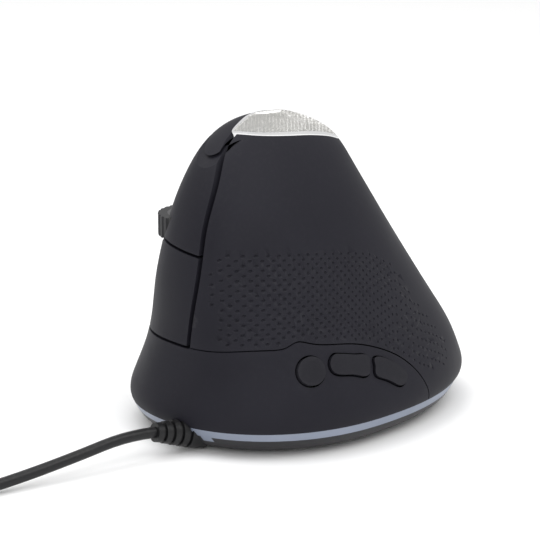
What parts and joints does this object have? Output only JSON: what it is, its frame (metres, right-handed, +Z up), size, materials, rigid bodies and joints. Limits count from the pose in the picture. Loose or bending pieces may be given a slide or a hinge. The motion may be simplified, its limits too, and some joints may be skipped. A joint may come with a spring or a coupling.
{
  "type": "upright computer mouse",
  "caption": "Upright handshake-style computer mouse with thumb panel, click buttons, scroll wheel, side keys, light strip, mesh cap and corded plug.",
  "frame": {"origin": "on the desk under the middle of the case, without the cord and plug", "axes": "+Z up, +Y to the front where the cord leaves, -X the thumb side, +X the finger side"},
  "size_m": [0.1124, 0.2129, 0.0912],
  "materials": {
    "soft_touch_shell": "soft-touch coated, matt",
    "side_key": "matt",
    "hull_plastic": "fine textured",
    "light_strip": "frosted translucent",
    "cap_chrome": "polished",
    "cap_weave": "woven silver mesh",
    "glide_foot": "slippery low-friction film",
    "circuit_board": "green solder mask",
    "chip_black": "moulded epoxy",
    "switch_body": "moulded",
    "lens_clear": "clear",
    "connector_white": "moulded nylon",
    "capacitor_can": "sleeved can",
    "inner_plastic": "plain moulded",
    "steel_small": "zinc plated",
    "tyre_rubber": "ribbed",
    "cord_jacket": "satin PVC",
    "plug_steel": "nickel plated",
    "contact_gold": "gold flashed"
  },
  "bodies": {
    "case": {"board_capacitors": "capacitor_can", "board_link": "connector_white", "board_screws": "steel_small", "bottom_shell": "hull_plastic", "cable_coil": "cord_jacket", "cable_connector": "connector_white", "cable_lead": "cord_jacket", "cable_tail": "cord_jacket", "cap_bezel": "cap_chrome", "cap_mesh": "cap_weave", "case_screws": "steel_small", "controller_chip": "chip_black", "finger_side_foot": "glide_foot", "front_foot": "glide_foot", "inner_frame": "inner_plastic", "inner_lead": "cord_jacket", "left_hinge_pin": "steel_small", "left_switch": "switch_body", "light_ring": "light_strip", "main_board": "circuit_board", "palm_shell": "soft_touch_shell", "plug_contacts": "contact_gold", "plug_grip": "cord_jacket", "plug_shell": "plug_steel", "plug_sleeve": "cord_jacket", "plug_tongue": "connector_white", "rear_foot": "glide_foot", "right_hinge_pin": "steel_small", "right_switch": "switch_body", "sensor_chip": "chip_black", "sensor_lens": "lens_clear", "side_board": "circuit_board", "side_skirt": "soft_touch_shell", "side_switches": "switch_body", "strain_relief": "cord_jacket", "strip_leds": "lens_clear", "thumb_panel": "soft_touch_shell", "thumb_side_foot": "glide_foot", "top_bridge": "soft_touch_shell", "upper_board": "circuit_board", "wheel_switch": "switch_body"},
    "left_button": {"left_button": "soft_touch_shell"},
    "right_button": {"right_button": "soft_touch_shell"},
    "dpi_button": {"dpi_button": "side_key"},
    "forward_button": {"forward_button": "side_key"},
    "back_button": {"back_button": "side_key"},
    "wheel_carrier": {"wheel_yoke": "inner_plastic", "wheel_encoder": "chip_black"},
    "wheel": {"wheel_tyre": "tyre_rubber", "wheel_hub": "inner_plastic", "wheel_axle": "steel_small"}
  },
  "joints": [
    {"name": "left_button_press", "type": "hinge", "parent": "case", "child": "left_button", "pos_m": [0.01625, -0.0026, 0.0654], "axis": [-0.2734, 0, 0.9619], "range_deg": [0, 0.7], "stiffness_Nm_per_rad": 1.6, "springref_deg": -0.23},
    {"name": "right_button_press", "type": "hinge", "parent": "case", "child": "right_button", "pos_m": [0.02223, -0.0006, 0.042], "axis": [-0.222, 0, 0.9751], "range_deg": [0, 0.7], "stiffness_Nm_per_rad": 1.6, "springref_deg": -0.23},
    {"name": "dpi_button_press", "type": "slide", "parent": "case", "child": "dpi_button", "axis": [0.8978, -0.0998, -0.429], "range_m": [0, 0.0006], "stiffness_N_per_m": 900, "springref_m": -0.0003},
    {"name": "forward_button_press", "type": "slide", "parent": "case", "child": "forward_button", "axis": [0.8978, -0.0998, -0.429], "range_m": [0, 0.0006], "stiffness_N_per_m": 900, "springref_m": -0.0003},
    {"name": "back_button_press", "type": "slide", "parent": "case", "child": "back_button", "axis": [0.8978, -0.0998, -0.429], "range_m": [0, 0.0006], "stiffness_N_per_m": 900, "springref_m": -0.0003},
    {"name": "wheel_press", "type": "slide", "parent": "case", "child": "wheel_carrier", "axis": [-1, 0, 0], "range_m": [0, 0.0005], "stiffness_N_per_m": 1200, "springref_m": -0.0003},
    {"name": "wheel_roll", "type": "hinge", "parent": "wheel_carrier", "child": "wheel", "pos_m": [0.0125, 0.0285, 0.0598], "axis": [0, 0, 1], "continuous": true}
  ]
}
